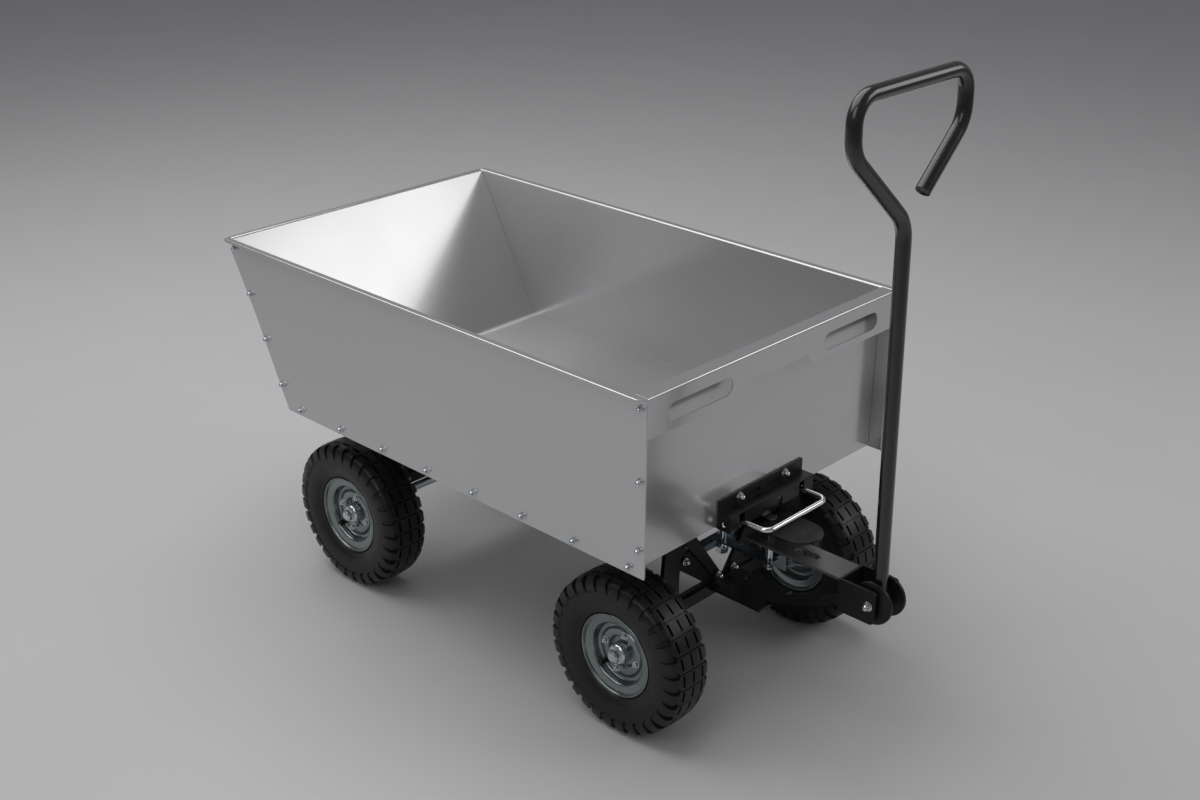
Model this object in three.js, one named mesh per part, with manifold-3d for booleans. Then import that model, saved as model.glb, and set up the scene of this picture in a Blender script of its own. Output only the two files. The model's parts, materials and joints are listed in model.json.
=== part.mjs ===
// Four-wheel steel dump cart with a tall pull handle, millimetres, +Z up.
// X runs across the cart, the handle end is at -Y, the ground is Z = 0.
// The cart is laid out about the front kingpin (X = 0, Y = 0) and the whole
// group is shifted at the end, so that the origin is the bottom centre.
import * as THREE from 'three';
import { mergeVertices } from 'three/addons/utils/BufferGeometryUtils.js';
import Module from 'manifold-3d';

const wasm = await Module();
wasm.setup();

// ---- driving dimensions ----------------------------------------------------
const GAP = 0.4;              // clearance between touching pieces
const SHEET = 1.5;            // tub sheet thickness
// running gear
const TYRE_R = 130, TYRE_HALF = 41, RIM_R = 68, TRACK_HALF = 215, WHEELBASE = 632;
const AXLE_R = 8, HUB_R = 17, HUB_OUT = 28, NUT_H = 7;
// tub
const TUB_HALF = 285.5;       // inner faces of the side plates
const TUB_FRONT = -93, TUB_BOTTOM = 315, TUB_TOP = 592;
const REAR_BOTTOM = 723, REAR_TOP = 859;
const FLOOR_Z = 332;          // upper face of the floor
const PANEL_Y = -67;          // inner face of the front panel
const LIP = 12, LIP_DROP = 4.5;
const FLAP_DROP = 62, SLOT_LEN = 137, SLOT_H = 28, SLOT_X = 175;
// tipping and latch
const TIP_Y = 655, TIP_Z = 313, PIN_R = 6;
const BAIL_Z = 325, BAIL_Y = -82, BAIL_REACH = 59, BAIL_HALF = 72, BAIL_R = 4;
// frame and steering
const RAIL_X = 105, RAIL_W = 25, RAIL_Z = 300.8, RAIL_FRONT = -36;
const BEAM_HALF = 150, BEAM_D = 16, BEAM_Z = 145, BEAM_H = 20;
const PLATE_Z = 296, PLATE_T = 4;      // turntable plate of the steering truck
const NOSE_Y = -182, STEER_BOLT_Y = -92;
const TONGUE_Z = 264.5, TONGUE_T = 4.5, TONGUE_FRONT = -241;
// handle
const FORK_Y = -294, FORK_Z = 246, ROD_R = 11, DISC_R = 33, LEAN = 1.2;
const LOOP_BASE = 812, LOOP_WIDE = 926, LOOP_TOP = 999, LOOP_HALF = 127;

// ---- materials -------------------------------------------------------------
const mat = (color, roughness, metalness) => new THREE.MeshStandardMaterial({ color, roughness, metalness });
const galvanised = mat(0x9a9a9c, 0.42, 0.85);
const black = mat(0x17171a, 0.45, 0.1);
const zinc = mat(0x7d8a92, 0.35, 0.9);
const chrome = mat(0xd8d8da, 0.12, 1);
const rubber = mat(0x1b1b1d, 0.85, 0);

// ---- geometry helpers ------------------------------------------------------
const toSolid = (geometry) => {
  const g = geometry.clone();
  g.deleteAttribute('normal');
  g.deleteAttribute('uv');
  const m = mergeVertices(g, 1e-3);
  return new wasm.Manifold(new wasm.Mesh({
    numProp: 3,
    vertProperties: new Float32Array(m.attributes.position.array),
    triVerts: new Uint32Array(m.index.array),
  }));
};
const toGeometry = (solid) => {
  const m = solid.getMesh();
  const g = new THREE.BufferGeometry();
  g.setAttribute('position', new THREE.BufferAttribute(new Float32Array(m.vertProperties), 3));
  g.setIndex(new THREE.BufferAttribute(new Uint32Array(m.triVerts), 1));
  const flat = g.toNonIndexed();
  flat.computeVertexNormals();
  return flat;
};
const join = (first, ...rest) => toGeometry(rest.reduce((s, g) => s.add(toSolid(g)), toSolid(first)));
const cut = (first, ...rest) => toGeometry(rest.reduce((s, g) => s.subtract(toSolid(g)), toSolid(first)));

const box = (x0, x1, y0, y1, z0, z1) =>
  new THREE.BoxGeometry(x1 - x0, y1 - y0, z1 - z0).translate((x0 + x1) / 2, (y0 + y1) / 2, (z0 + z1) / 2);
const shapeOf = (points, holes = []) => {
  const s = new THREE.Shape(points.map(([a, b]) => new THREE.Vector2(a, b)));
  holes.forEach((h) => s.holes.push(new THREE.Path(h.map(([a, b]) => new THREE.Vector2(a, b)))));
  return s;
};
const extrude = (points, depth, holes) =>
  new THREE.ExtrudeGeometry(shapeOf(points, holes), { depth, bevelEnabled: false, curveSegments: 8 });
// outline in X and Y, from z0 to z1
const slabZ = (points, z0, z1, holes) => extrude(points, z1 - z0, holes).translate(0, 0, z0);
// outline in Y and Z, from x0 to x1
const slabX = (points, x0, x1, holes) => {
  const basis = new THREE.Matrix4().makeBasis(
    new THREE.Vector3(0, 1, 0), new THREE.Vector3(0, 0, 1), new THREE.Vector3(1, 0, 0));
  return extrude(points, x1 - x0, holes).applyMatrix4(basis).translate(x0, 0, 0);
};
// outline in X and Z, from y0 to y1
const slabY = (points, y0, y1, holes) => {
  const basis = new THREE.Matrix4().makeBasis(
    new THREE.Vector3(1, 0, 0), new THREE.Vector3(0, 0, 1), new THREE.Vector3(0, -1, 0));
  return extrude(points, y1 - y0, holes).applyMatrix4(basis).translate(0, y1, 0);
};
const rodX = (r, x0, x1, y, z, seg = 16) =>
  new THREE.CylinderGeometry(r, r, x1 - x0, seg).rotateZ(Math.PI / 2).translate((x0 + x1) / 2, y, z);
const rodZ = (r, z0, z1, x, y, seg = 16) =>
  new THREE.CylinderGeometry(r, r, z1 - z0, seg).rotateX(Math.PI / 2).translate(x, y, (z0 + z1) / 2);
const rodY = (r, y0, y1, x, z, seg = 16) =>
  new THREE.CylinderGeometry(r, r, y1 - y0, seg).translate(x, (y0 + y1) / 2, z);
// the same surface with its faces pointing out
const outward = (geometry) => {
  const g = geometry.index ? geometry.toNonIndexed() : geometry.clone();
  const p = g.attributes.position;
  const v = [0, 1, 2].map(() => new THREE.Vector3());
  let volume = 0;
  for (let i = 0; i < p.count; i += 3) {
    v.forEach((q, k) => q.fromBufferAttribute(p, i + k));
    volume += v[0].dot(v[1].clone().cross(v[2]));
  }
  if (volume > 0) return g;
  for (let i = 0; i < p.count; i += 3) {
    v.forEach((q, k) => q.fromBufferAttribute(p, i + k));
    [v[0], v[2], v[1]].forEach((q, k) => p.setXYZ(i + k, q.x, q.y, q.z));
  }
  g.computeVertexNormals();
  return g;
};
// profile of [along, radius] pairs turned about the X axis, one vertex straight down
const latheX = (profile, seg) => outward(
  new THREE.LatheGeometry(profile.map(([a, r]) => new THREE.Vector2(r, a)), seg)
    .rotateZ(-Math.PI / 2).rotateX(Math.PI));
const arc = (cx, cy, r, a0, a1, n) => Array.from({ length: n + 1 }, (_, i) => {
  const a = THREE.MathUtils.degToRad(a0 + (a1 - a0) * i / n);
  return [cx + r * Math.cos(a), cy + r * Math.sin(a)];
});
// centre line with rounded corners: points [x, y, z, corner radius]
const wire = (points, radius, seg) => {
  const curves = [];
  const v = points.map(([x, y, z]) => new THREE.Vector3(x, y, z));
  let from = v[0];
  for (let i = 1; i < v.length - 1; i += 1) {
    const toPrev = v[i - 1].clone().sub(v[i]).normalize();
    const toNext = v[i + 1].clone().sub(v[i]).normalize();
    const half = toPrev.angleTo(toNext) / 2;
    const trim = points[i][3] / Math.tan(half);
    const a = v[i].clone().addScaledVector(toPrev, trim);
    const b = v[i].clone().addScaledVector(toNext, trim);
    curves.push(new THREE.LineCurve3(from, a), new THREE.QuadraticBezierCurve3(a, v[i], b));
    from = b;
  }
  curves.push(new THREE.LineCurve3(from, v[v.length - 1]));
  const circle = new THREE.Shape().absarc(0, 0, radius, 0, Math.PI * 2);
  const stations = [];
  curves.forEach((c, k) => {
    const n = c.isQuadraticBezierCurve3 ? seg : 1;
    for (let i = k === 0 ? 0 : 1; i <= n; i += 1) stations.push(c.getPoint(i / n));
  });
  return sweep(stations, circle.getPoints(3).slice(0, 12));
};
// closed tube through the stations, one ring at each mitred corner
const sweep = (stations, ring) => {
  const n = ring.length;
  const tangents = stations.map((p, i) => {
    const a = i > 0 ? p.clone().sub(stations[i - 1]).normalize() : null;
    const b = i < stations.length - 1 ? stations[i + 1].clone().sub(p).normalize() : null;
    return a && b ? a.add(b).normalize() : (a ?? b);
  });
  const side = new THREE.Vector3(0.31, 0.87, 0.38).cross(tangents[0]).normalize();
  const pos = [];
  stations.forEach((p, i) => {
    side.addScaledVector(tangents[i], -side.dot(tangents[i])).normalize();
    const other = tangents[i].clone().cross(side);
    ring.forEach(({ x, y }) => {
      const q = p.clone().addScaledVector(side, x).addScaledVector(other, y);
      pos.push(q.x, q.y, q.z);
    });
  });
  const idx = [];
  for (let i = 0; i < stations.length - 1; i += 1) {
    for (let k = 0; k < n; k += 1) {
      const a = i * n + k, b = i * n + ((k + 1) % n), c = a + n, d = b + n;
      idx.push(a, b, c, b, d, c);
    }
  }
  const last = (stations.length - 1) * n;
  for (let k = 1; k < n - 1; k += 1) {
    idx.push(0, k + 1, k);
    idx.push(last, last + k, last + k + 1);
  }
  const g = new THREE.BufferGeometry();
  g.setAttribute('position', new THREE.Float32BufferAttribute(pos, 3));
  g.setIndex(idx);
  const flat = g.toNonIndexed();
  flat.computeVertexNormals();
  flat.setAttribute('uv', new THREE.Float32BufferAttribute(new Float32Array(flat.attributes.position.count * 2), 2));
  return outward(flat);
};
const mirrorX = (geometry) => {
  const g = (geometry.index ? geometry.toNonIndexed() : geometry.clone());
  const p = g.attributes.position;
  for (let i = 0; i < p.count; i += 3) {
    const t = [0, 1, 2].map((k) => [-p.getX(i + k), p.getY(i + k), p.getZ(i + k)]);
    [t[0], t[2], t[1]].forEach(([x, y, z], k) => p.setXYZ(i + k, x, y, z));
  }
  g.computeVertexNormals();
  return g;
};

const cart = new THREE.Group();
const add = (name, geometry, material) => {
  const mesh = new THREE.Mesh(geometry, material);
  mesh.name = name;
  cart.add(mesh);
  return mesh;
};
const SIDES = [['left', false], ['right', true]];
// a piece is drawn on the left (-X) and mirrored for the right
const addPair = (name, geometry, material) => SIDES.forEach(([side, flip]) =>
  add(`${name}_${side}`, flip ? mirrorX(geometry) : geometry, material));

// ---- tub -------------------------------------------------------------------
const OUTER = TUB_HALF + SHEET;
const outline = [[TUB_FRONT, TUB_BOTTOM], [REAR_BOTTOM, TUB_BOTTOM], [REAR_TOP, TUB_TOP], [TUB_FRONT, TUB_TOP]];
const domeHead = (x, y, z, r = 5) => latheX([[0.5, 0], [0.5, r], [-1.8, r], [-3.6, r * 0.6], [-4.2, 0]], 8)
  .translate(x, y, z);
const boltPlaces = [];
for (let i = 0; i < 8; i += 1) boltPlaces.push([687 - i * 107.4, TUB_BOTTOM + 10.5]);
for (let i = 0; i < 4; i += 1) {
  const t = 0.065 + i * 0.262;
  boltPlaces.push([REAR_TOP + (REAR_BOTTOM - REAR_TOP) * t - 9, TUB_TOP + (TUB_BOTTOM - TUB_TOP) * t + 3]);
}
[-18, -127, -234].forEach((dz) => boltPlaces.push([TUB_FRONT + 10, TUB_TOP + dz]));
const lipPlan = [
  [-TUB_HALF, TUB_FRONT + 1], ...arc(-OUTER, TUB_FRONT + 1 + LIP, LIP, 270, 180, 5),
  ...arc(-OUTER - LIP + 4, REAR_TOP - 4, 4, 180, 90, 3), [-TUB_HALF, REAR_TOP],
];
const sidePlate = join(
  slabX(outline, -OUTER, -TUB_HALF),
  slabZ(lipPlan, TUB_TOP - SHEET, TUB_TOP),
  box(-OUTER - LIP, -OUTER - LIP + SHEET, TUB_FRONT + LIP + 1, REAR_TOP - 5, TUB_TOP - LIP_DROP, TUB_TOP - 0.4),
  ...boltPlaces.map(([y, z]) => domeHead(-OUTER, y, z)));
addPair('tub_side', sidePlate, galvanised);

const INNER = TUB_HALF - GAP;
const SLOPE_FOOT = 711, SLOPE_HEAD = 853;
const slopeDir = new THREE.Vector2(SLOPE_HEAD - SLOPE_FOOT, TUB_TOP - FLOOR_Z).normalize();
const behind = (y, z, d) => [y + slopeDir.y * d, z - slopeDir.x * d];
const floorStart = PANEL_Y + GAP;
const sheetProfile = [
  [floorStart, FLOOR_Z], [SLOPE_FOOT, FLOOR_Z], [SLOPE_HEAD, TUB_TOP], [SLOPE_HEAD + 10, TUB_TOP],
  [SLOPE_HEAD + 10, TUB_TOP - LIP_DROP], [SLOPE_HEAD + 8.5, TUB_TOP - LIP_DROP],
  [SLOPE_HEAD + 8.5, TUB_TOP - SHEET], [SLOPE_HEAD + SHEET * 0.7, TUB_TOP - SHEET],
  [SLOPE_FOOT + SHEET * 0.6, FLOOR_Z - SHEET], [floorStart, FLOOR_Z - SHEET],
];
const flangeFoot = behind(SLOPE_FOOT, FLOOR_Z, 14);
const flangeHead = behind(SLOPE_HEAD - 8, TUB_TOP - 16, 5);
const sideFlange = [
  [floorStart + 2, FLOOR_Z - 0.8], [SLOPE_FOOT + 0.4, FLOOR_Z - 0.8], [SLOPE_HEAD - 6.5, TUB_TOP - 14],
  flangeHead, [flangeFoot[0] - 1, FLOOR_Z - 9], [flangeFoot[0] - 6, TUB_BOTTOM + 2], [floorStart + 2, TUB_BOTTOM + 2],
];
const flangeLeft = slabX(sideFlange, -INNER, -INNER + SHEET);
const floorSheet = join(
  slabX(sheetProfile, -INNER, INNER), flangeLeft, mirrorX(flangeLeft),
  ...[-128, 128].flatMap((x) => [332, 565].map((y) => rodZ(5.5, FLOOR_Z - 0.5, FLOOR_Z + 2.4, x, y, 8))));
add('tub_floor', floorSheet, galvanised);

const slotAt = (cx) => {
  const r = SLOT_H / 2, z = TUB_TOP - 22 - r, h = SLOT_LEN / 2 - r;
  return [...arc(cx + h, z, r, -90, 90, 6), ...arc(cx - h, z, r, 90, 270, 6)];
};
const flapFoot = TUB_TOP - FLAP_DROP;
const flapOutline = [
  [-INNER, flapFoot], [-81, flapFoot], [-63, flapFoot + 19], [63, flapFoot + 19], [81, flapFoot], [INNER, flapFoot],
  [INNER, TUB_TOP], [-INNER, TUB_TOP],
];
const panelFlange = slabX([[TUB_FRONT + 0.4, TUB_BOTTOM + 3], [PANEL_Y - SHEET + 0.2, TUB_BOTTOM + 8],
  [PANEL_Y - SHEET + 0.2, TUB_TOP - 1], [TUB_FRONT + 0.4, TUB_TOP - 1]], -INNER, -INNER + SHEET);
const frontPanel = join(
  box(-INNER, INNER, PANEL_Y - SHEET, PANEL_Y, TUB_BOTTOM + 8, TUB_TOP),
  box(-INNER, INNER, TUB_FRONT, PANEL_Y, TUB_TOP - SHEET, TUB_TOP),
  slabY(flapOutline, TUB_FRONT, TUB_FRONT + SHEET, [slotAt(-SLOT_X), slotAt(SLOT_X)]),
  panelFlange, mirrorX(panelFlange));
add('tub_front_panel', frontPanel, galvanised);

// hinge angles under the floor, one outside each rail, and the pivot rod
const ANGLE_X = RAIL_X + RAIL_W / 2 + 1.5;
const pinHole = (x0, x1, r = PIN_R + GAP) => rodX(r, x0, x1, TIP_Y, TIP_Z);
const hingeAngle = cut(join(
  slabX([[318, 312], [560, 312], [640, 297], ...arc(TIP_Y + 2, TIP_Z, 17, 250, 360, 4),
    [TIP_Y + 19, FLOOR_Z - SHEET - GAP], [318, FLOOR_Z - SHEET - GAP]], -ANGLE_X - 3, -ANGLE_X),
  box(-ANGLE_X - 26, -ANGLE_X - 2, 318, TIP_Y + 19, FLOOR_Z - SHEET - GAP - 3, FLOOR_Z - SHEET - GAP)),
pinHole(-200, -60));
addPair('tub_hinge_angle', hingeAngle, black);

// ---- tub latch ---------------------------------------------------------------
const LATCH_HALF = 100, panelFace = PANEL_Y - SHEET - GAP;
const LATCH_TOP = 361, SHELF_Z = 341, LATCH_LIP_Y = TUB_FRONT - 0.5;
const legSlot = (x) => box(x - 6, x + 6, LATCH_LIP_Y - 2, LATCH_LIP_Y + 5, 310, SHELF_Z - 3);
const latchBracket = cut(join(
  box(-LATCH_HALF, LATCH_HALF, panelFace - 3, panelFace, SHELF_Z - 3, LATCH_TOP),
  box(-LATCH_HALF, LATCH_HALF, LATCH_LIP_Y, panelFace, SHELF_Z - 3, SHELF_Z),
  box(-LATCH_HALF, LATCH_HALF, LATCH_LIP_Y, LATCH_LIP_Y + 3, 317, SHELF_Z),
  ...[-1, 1].map((s) => box(Math.min(s * LATCH_HALF, s * (LATCH_HALF - 3)), Math.max(s * LATCH_HALF, s * (LATCH_HALF - 3)),
    LATCH_LIP_Y, panelFace, 314, SHELF_Z)),
  box(-8, 8, panelFace - 6, panelFace - 2, 346, 351)),
legSlot(-BAIL_HALF), legSlot(BAIL_HALF), box(-24, 24, LATCH_LIP_Y - 2, LATCH_LIP_Y + 5, 310, 331),
rodX(BAIL_R + GAP, -120, 120, BAIL_Y, BAIL_Z, 12));
add('latch_bracket', latchBracket, black);
const latchBolt = outward(new THREE.LatheGeometry(
  [[0, 0], [6.5, 0], [6.5, 2.6], [4.6, 5.2], [0, 6.4]].map(([r, a]) => new THREE.Vector2(r, a)), 12).rotateX(Math.PI));
[['left', -54], ['right', 54]].forEach(([side, x]) => add(`latch_bolt_${side}`,
  latchBolt.clone().translate(x, panelFace - 3 - GAP, 352), zinc));
const bailFront = BAIL_Y - BAIL_REACH;
add('latch_bail', join(
  rodX(BAIL_R, -LATCH_HALF + 0.5, LATCH_HALF - 0.5, BAIL_Y, BAIL_Z, 12),
  wire([[-BAIL_HALF, BAIL_Y, BAIL_Z], [-BAIL_HALF, bailFront, BAIL_Z, 15],
    [BAIL_HALF, bailFront, BAIL_Z, 15], [BAIL_HALF, BAIL_Y, BAIL_Z]], BAIL_R, 5)), chrome);
add('latch_pawl', cut(slabX([[BAIL_Y - 7, BAIL_Z + 6], [BAIL_Y + 7, BAIL_Z + 6], [BAIL_Y + 7, BAIL_Z - 8],
  [BAIL_Y + 5, 305.2], [BAIL_Y - 4, 305.2], [BAIL_Y - 9, BAIL_Z - 6]], -18, 18),
rodX(BAIL_R + GAP, -30, 30, BAIL_Y, BAIL_Z, 12)), zinc);

// ---- fixed frame -------------------------------------------------------------
const railEnd = TIP_Y + 10;
const rail = cut(
  box(-RAIL_X - RAIL_W / 2, -RAIL_X + RAIL_W / 2, RAIL_FRONT, railEnd, RAIL_Z, RAIL_Z + RAIL_W),
  box(-RAIL_X - RAIL_W / 2 + 2, -RAIL_X + RAIL_W / 2 - 2, RAIL_FRONT - 5, railEnd + 5, RAIL_Z + 2, RAIL_Z + RAIL_W - 2),
  pinHole(-150, -60));
addPair('frame_rail', rail, black);
const railInner = RAIL_X - RAIL_W / 2 - GAP;
[['front', 18], ['middle', 300], ['rear', 600]].forEach(([name, y]) => add(`frame_cross_${name}`, cut(
  box(-railInner, railInner, y - 12, y + 12, RAIL_Z + 9, RAIL_Z + 24),
  box(-railInner - 1, railInner + 1, y - 10, y + 10, RAIL_Z + 11, RAIL_Z + 22),
  ...(name === 'front' ? [rodZ(13, 280, 340, 0, 0)] : [])), black));
add('latch_keeper', cut(
  slabZ([[-railInner, 60], [-railInner, -30], [-84, -68], [-78, -72.5], [78, -72.5], [84, -68],
    [railInner, -30], [railInner, 60]], RAIL_Z + 4.5, RAIL_Z + 8.6), rodZ(7 + GAP, 280, 340, 0, 0)), black);
add('turntable_disc', cut(rodZ(70, RAIL_Z - 0.2, RAIL_Z + 4.1, 0, 0, 32), rodZ(7 + GAP, 280, 340, 0, 0)), black);
add('kingpin', join(rodZ(7, 207, 318, 0, 0), rodZ(11.5, RAIL_Z + 9, 318, 0, 0, 6),
  rodZ(11, 209.6, 219.6, 0, 0, 6)), zinc);
add('tub_pivot_rod', join(rodX(PIN_R, -ANGLE_X - 7, ANGLE_X + 7, TIP_Y, TIP_Z),
  rodX(9.5, -ANGLE_X - 12, -ANGLE_X - 3.5, TIP_Y, TIP_Z, 6), rodX(9.5, ANGLE_X + 3.5, ANGLE_X + 12, TIP_Y, TIP_Z, 6)), zinc);

// bent strap truss on the left half of an axle beam, in the plane of the beam
const trussPlate = (top, topLeft = -138) => join(slabY([[-148, BEAM_Z + BEAM_H + GAP], [topLeft, top], [-93, top],
  [-3, BEAM_Z + BEAM_H + 3], [-3, BEAM_Z + BEAM_H + GAP]], -2, 2,
[[[-103, 217], [-103, 172], [-45, 172]], [[-87, 258], [-92, 241], [-76, 243]]]), rodY(5, -6, -1.5, -95, 231, 6));
const trussStrap = (top) => join(
  slabY([[-149, BEAM_Z + BEAM_H + GAP], [-138, top], [-101, top], [-111, BEAM_Z + BEAM_H + GAP]], -5.8, -2 - GAP),
  slabY([[-115, top - 12], [-115, top], [-93, top], [-9, 178], [-15, 168], [-27, 178]], -5.8, -2 - GAP),
  rodY(5, -9.6, -5.6, -19, 177, 6));
// nut just outside a wheel's hub, on the left (s = -1) or the right (s = 1)
const NUT_FACE = TRACK_HALF + HUB_OUT + GAP, AXLE_END = NUT_FACE + NUT_H + 1.6;
const axleNut = (s, y) => rodX(11, Math.min(s * NUT_FACE, s * (NUT_FACE + NUT_H)),
  Math.max(s * NUT_FACE, s * (NUT_FACE + NUT_H)), y, TYRE_R, 6);
const beam = (y) => box(-BEAM_HALF, BEAM_HALF, y - BEAM_D / 2, y + BEAM_D / 2, BEAM_Z, BEAM_Z + BEAM_H);
const rearY = WHEELBASE;
add('rear_beam', beam(rearY), black);
addPair('rear_truss', trussPlate(RAIL_Z - GAP, -RAIL_X - RAIL_W / 2).translate(0, rearY, 0), black);
add('rear_axle', join(rodX(AXLE_R, -AXLE_END, AXLE_END, rearY, TYRE_R), axleNut(-1, rearY), axleNut(1, rearY)), zinc);
[['left', -1], ['right', 1]].forEach(([side, s]) => add(`rear_axle_clamp_${side}`, cut(
  join(box(s * 128 - 11, s * 128 + 11, rearY - 12, rearY + 12, TYRE_R - 10, BEAM_Z - GAP)),
  rodX(AXLE_R + GAP, s * 128 - 20, s * 128 + 20, rearY, TYRE_R)), black));

// ---- steering truck ------------------------------------------------------------
add('front_beam', beam(0), black);
addPair('front_truss_plate', trussPlate(PLATE_Z - GAP), black);
addPair('front_truss_strap', trussStrap(PLATE_Z - GAP), black);
add('turntable_plate', cut(slabZ([
  [-138, 18], [-138, -18], [-62, -18], [-40, -50], ...arc(0, NOSE_Y + 36, 36, 180, 360, 10),
  [40, -50], [62, -18], [138, -18], [138, 18], [60, 24], [48, 45], [-48, 45], [-60, 24]], PLATE_Z, PLATE_Z + PLATE_T),
rodZ(7 + GAP, 280, 340, 0, 0), rodZ(6 + GAP, 280, 340, 0, STEER_BOLT_Y)), black);
[['left', -1], ['right', 1]].forEach(([side, s]) => add(`front_stub_axle_${side}`, join(
  box(Math.min(s * 150.4, s * 156), Math.max(s * 150.4, s * 156), -14, 14, TYRE_R - 16, BEAM_Z + BEAM_H),
  rodX(AXLE_R, Math.min(s * 152, s * AXLE_END), Math.max(s * 152, s * AXLE_END), 0, TYRE_R), axleNut(s, 0)), zinc));
add('lower_plate', slabZ([[-40, -BEAM_D / 2 - GAP], [-40, -110], [40, -110], [40, -BEAM_D / 2 - GAP]],
  BEAM_Z + BEAM_H - 5, BEAM_Z + BEAM_H, [[[17, -31], [30, -34], [19, -50]]]), black);
add('steering_bolt', join(rodZ(6, 215, 303.5, 0, STEER_BOLT_Y, 12),
  rodZ(9.5, PLATE_Z + PLATE_T + GAP, 304, 0, STEER_BOLT_Y, 6), rodZ(9.5, 219, 227.6, 0, STEER_BOLT_Y, 6)), zinc);
add('steering_tee', cut(join(slabZ([[-95, 2.5], [95, 2.5], [95, 20], [-95, 20]], 220, 231.5),
  slabZ([[-10, 10], [-10, -104], [10, -104], [10, 10]], 228, 231.5)),
rodZ(7 + GAP, 200, 340, 0, 0), rodZ(6 + GAP, 200, 340, 0, STEER_BOLT_Y)), zinc);
const slotHole = [...arc(0, -177, 8, 180, 360, 6), ...arc(0, -150, 8, 0, 180, 6)];
add('drawbar_tongue', cut(slabZ([[-25, TONGUE_FRONT], [25, TONGUE_FRONT], [25, -66], [-25, -66]],
  TONGUE_Z, TONGUE_Z + TONGUE_T, [slotHole]), rodZ(6 + GAP, 200, 340, 0, STEER_BOLT_Y)), black);
add('drawbar_brace', slabX([[-105, BEAM_Z + BEAM_H + GAP], [-105, BEAM_Z + BEAM_H + 4.5], [-112, BEAM_Z + BEAM_H + 4.5],
  [TONGUE_FRONT + 0.6, 226], [TONGUE_FRONT + 0.6, 221], [-114, BEAM_Z + BEAM_H + GAP]], -16, 16), black);
const forkHole = rodX(5 + GAP, -60, 60, FORK_Y, FORK_Z, 12);
const forkFront = FORK_Y - 12;
const forkSide = [[TONGUE_FRONT - 4.5, 217], [TONGUE_FRONT - 4.5, 271], [forkFront + 4, 271], ...arc(forkFront + 4, 267, 4, 90, 180, 3),
  ...arc(forkFront + 8, 225, 8, 180, 270, 4)];
const forkPlate = slabX(forkSide, -29.5, -25.4);
add('drawbar_fork', cut(join(box(-29.5, 29.5, TONGUE_FRONT - 4.5, TONGUE_FRONT - 0.4, 217, 271),
  forkPlate, mirrorX(forkPlate)), forkHole), black);
add('fork_bolt', join(rodX(5, -36, 36, FORK_Y, FORK_Z, 12), rodX(8.5, -36.5, -30, FORK_Y, FORK_Z, 6),
  rodX(8.5, 30, 36.5, FORK_Y, FORK_Z, 6)), zinc);

// ---- handle --------------------------------------------------------------------
const handle = new THREE.Group();
handle.position.set(0, FORK_Y, FORK_Z);
handle.rotation.x = THREE.MathUtils.degToRad(-LEAN);
cart.add(handle);
const up = (z) => z - FORK_Z;
const loopPath = [
  [0, 0, 0], [0, 0, up(LOOP_BASE), 26], [-LOOP_HALF, 0, up(LOOP_WIDE), 34],
  [-LOOP_HALF, 0, up(LOOP_TOP), 26], [LOOP_HALF, 0, up(LOOP_TOP), 26],
  [LOOP_HALF, 0, up(LOOP_WIDE), 34], [38, 0, up(LOOP_WIDE) - (LOOP_WIDE - LOOP_BASE) * 0.7],
];
const pieceOnHandle = (name, geometry, material) => {
  const mesh = new THREE.Mesh(geometry, material);
  mesh.name = name;
  handle.add(mesh);
};
const hubHole = rodX(5 + GAP, -60, 60, 0, 0, 12);
pieceOnHandle('handle_rod', cut(join(wire(loopPath, ROD_R, 5), rodX(15, -14, 14, 0, 0, 20)), hubHole), black);
[['left', -1], ['right', 1]].forEach(([side, s]) => pieceOnHandle(`handle_disc_${side}`, cut(
  rodX(DISC_R, Math.min(s * 14.4, s * 19.6), Math.max(s * 14.4, s * 19.6), 0, 0, 32), hubHole), black));

// ---- wheels --------------------------------------------------------------------
const BEAD_R = RIM_R - 5;       // the tyre's bead sits over the rim's seat
const tyreProfile = [
  [-29, BEAD_R], [-29, RIM_R + 0.8], [-38, 86], [-TYRE_HALF, 101], [-37, 119], [-20, TYRE_R],
  [20, TYRE_R], [37, 119], [TYRE_HALF, 101], [38, 86], [29, RIM_R + 0.8], [29, BEAD_R],
  [22, BEAD_R], [28, 112], [-28, 112], [-22, BEAD_R], [-29, BEAD_R],
];
// one pressed half of the rim, from the wheel's middle plane outwards (-X)
const rimHalf = [
  [-0.3, HUB_R + GAP], [-9, HUB_R + GAP], [-9, 27], [-14, 33], [-14, 44], [-11.5, 53], [-29.5, 57],
  [-32, 64], [-32, RIM_R], [-29.6, RIM_R], [-29.4, BEAD_R - 0.5], [-10, 57.5], [-0.3, 57.5], [-0.3, 54.5],
  [-8, 44], [-7, 30], [-0.3, 27], [-0.3, HUB_R + GAP],
];
const hubProfile = [
  [-HUB_OUT, AXLE_R + GAP], [-HUB_OUT, 13.5], [-HUB_OUT + 3, HUB_R], [30, HUB_R], [40, 12.5],
  [40, AXLE_R + GAP], [-HUB_OUT, AXLE_R + GAP],
];
const WHEELS = [
  ['front_left', -TRACK_HALF, 0, false], ['front_right', TRACK_HALF, 0, true],
  ['rear_left', -TRACK_HALF, rearY, false], ['rear_right', TRACK_HALF, rearY, true],
];
WHEELS.forEach(([name, x, y, flip]) => {
  const place = (g) => g.translate(x, y, TYRE_R);
  add(`tyre_${name}`, place(latheX(tyreProfile, 32)), rubber);
  add(`rim_outer_${name}`, place(flip ? mirrorX(latheX(rimHalf, 18)) : latheX(rimHalf, 18)), zinc);
  add(`rim_inner_${name}`, place(flip ? latheX(rimHalf, 18) : mirrorX(latheX(rimHalf, 18))), zinc);
  add(`hub_${name}`, place(flip ? mirrorX(latheX(hubProfile, 16)) : latheX(hubProfile, 16)), zinc);
});

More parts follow.
